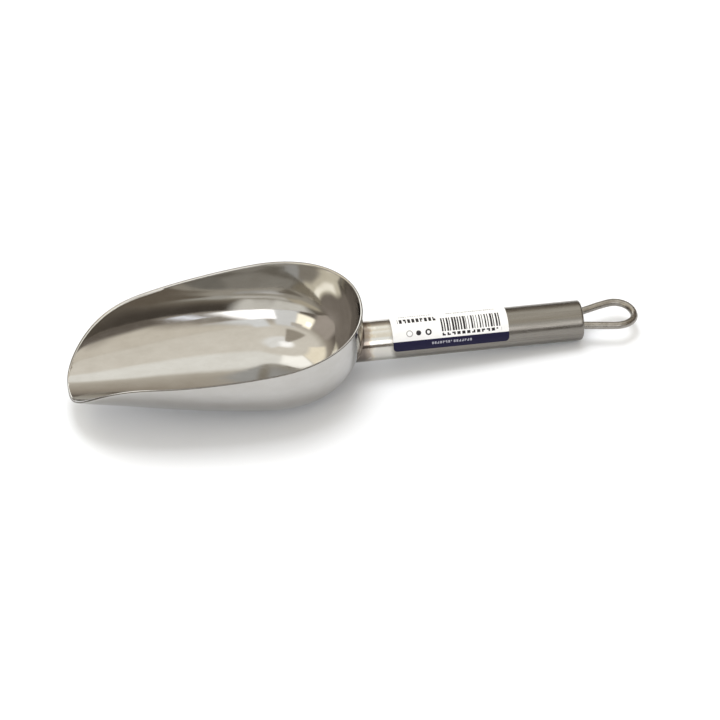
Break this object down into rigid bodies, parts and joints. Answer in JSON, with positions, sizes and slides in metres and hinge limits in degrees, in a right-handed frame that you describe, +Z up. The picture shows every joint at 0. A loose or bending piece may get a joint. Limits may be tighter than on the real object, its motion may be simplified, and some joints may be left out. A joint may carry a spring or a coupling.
{
  "type": "ice scoop",
  "caption": "Ice scoop with a deep polished steel bowl, open at its raised tip, on a straight round tube handle that ends in a wire hanging loop.",
  "frame": {"origin": "on the table, under the middle of the scoop's length and width", "axes": "+X from the tip of the bowl to the hanging loop, +Y across the bowl, +Z up from the table"},
  "size_m": [0.2718, 0.0792, 0.042],
  "materials": {
    "polished_steel": "mirror-polished stainless steel sheet",
    "satin_steel": "satin stainless steel with fine lengthwise drawing lines",
    "wire_steel": "drawn stainless steel wire, dull shine",
    "weld_steel": "weld bead, straw and brown heat tint",
    "label_paper": "semi-gloss printed paper"
  },
  "bodies": {
    "root": {"bowl": "polished_steel", "bowl_weld": "weld_steel", "handle_tube": "satin_steel", "end_cap": "satin_steel", "hanging_loop": "wire_steel", "loop_weld_near": "weld_steel", "loop_weld_far": "weld_steel", "handle_label": "label_paper"}
  },
  "joints": []
}
